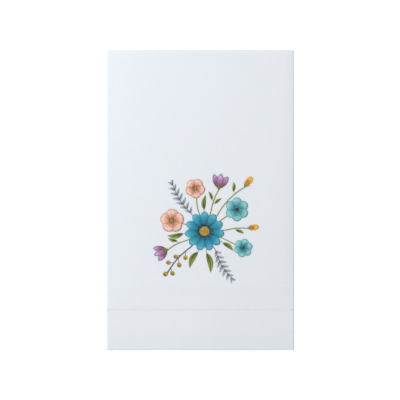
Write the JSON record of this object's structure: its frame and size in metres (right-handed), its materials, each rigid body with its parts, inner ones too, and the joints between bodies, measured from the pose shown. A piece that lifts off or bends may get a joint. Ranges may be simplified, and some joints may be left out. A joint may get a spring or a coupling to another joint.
{
  "type": "fingertip towel",
  "caption": "Small linen guest towel, folded for a towel bar, with a hemstitched border and an embroidered posy on its face.",
  "frame": {"origin": "middle of the folded towel's footprint, on the surface that its back leaf lies on", "axes": "+X across the towel to the right of its face, +Y up its face from the hemstitched hem to the top fold, +Z out of its face"},
  "size_m": [0.1799, 0.2882, 0.0077],
  "materials": {
    "linen": "white plain-weave linen, matte",
    "teal_thread": "stitched thread, soft sheen",
    "aqua_thread": "stitched thread, soft sheen",
    "peach_thread": "stitched thread, soft sheen",
    "plum_thread": "stitched thread, soft sheen",
    "orange_thread": "stitched thread, soft sheen",
    "olive_thread": "stitched thread, soft sheen",
    "mustard_thread": "stitched thread, soft sheen",
    "charcoal_thread": "stitched thread, soft sheen",
    "grey_thread": "stitched thread, soft sheen"
  },
  "bodies": {
    "root": {"towel": "linen", "daisy": "teal_thread", "daisy_eye": "mustard_thread", "left_blossom": "peach_thread", "left_blossom_eye": "olive_thread", "top_blossom": "peach_thread", "top_blossom_eye": "olive_thread", "right_blossom": "aqua_thread", "right_blossom_eye": "charcoal_thread", "low_blossom": "aqua_thread", "low_blossom_eye": "charcoal_thread", "upper_tulip": "plum_thread", "lower_tulip": "plum_thread", "upper_bud": "orange_thread", "right_bud": "orange_thread", "upper_fern": "grey_thread", "lower_fern": "grey_thread", "leaf_left": "olive_thread", "leaf_low_left": "olive_thread", "leaf_low": "olive_thread", "leaf_right": "olive_thread", "leaf_top": "olive_thread", "leaf_tulip_left": "olive_thread", "leaf_tulip_right": "olive_thread", "leaf_bud_stem": "olive_thread", "leaf_low_bud": "olive_thread", "leaf_lower_tulip": "olive_thread", "left_blossom_stem": "olive_thread", "top_blossom_stem": "olive_thread", "right_blossom_stem": "olive_thread", "low_blossom_stem": "olive_thread", "upper_tulip_stem": "olive_thread", "lower_tulip_stem": "olive_thread", "upper_bud_stem": "olive_thread", "right_bud_stem": "olive_thread", "berry_twig": "charcoal_thread", "berry_1": "mustard_thread", "berry_2": "mustard_thread", "berry_3": "mustard_thread", "berry_4": "mustard_thread", "berry_5": "mustard_thread", "berry_6": "mustard_thread"}
  },
  "joints": []
}
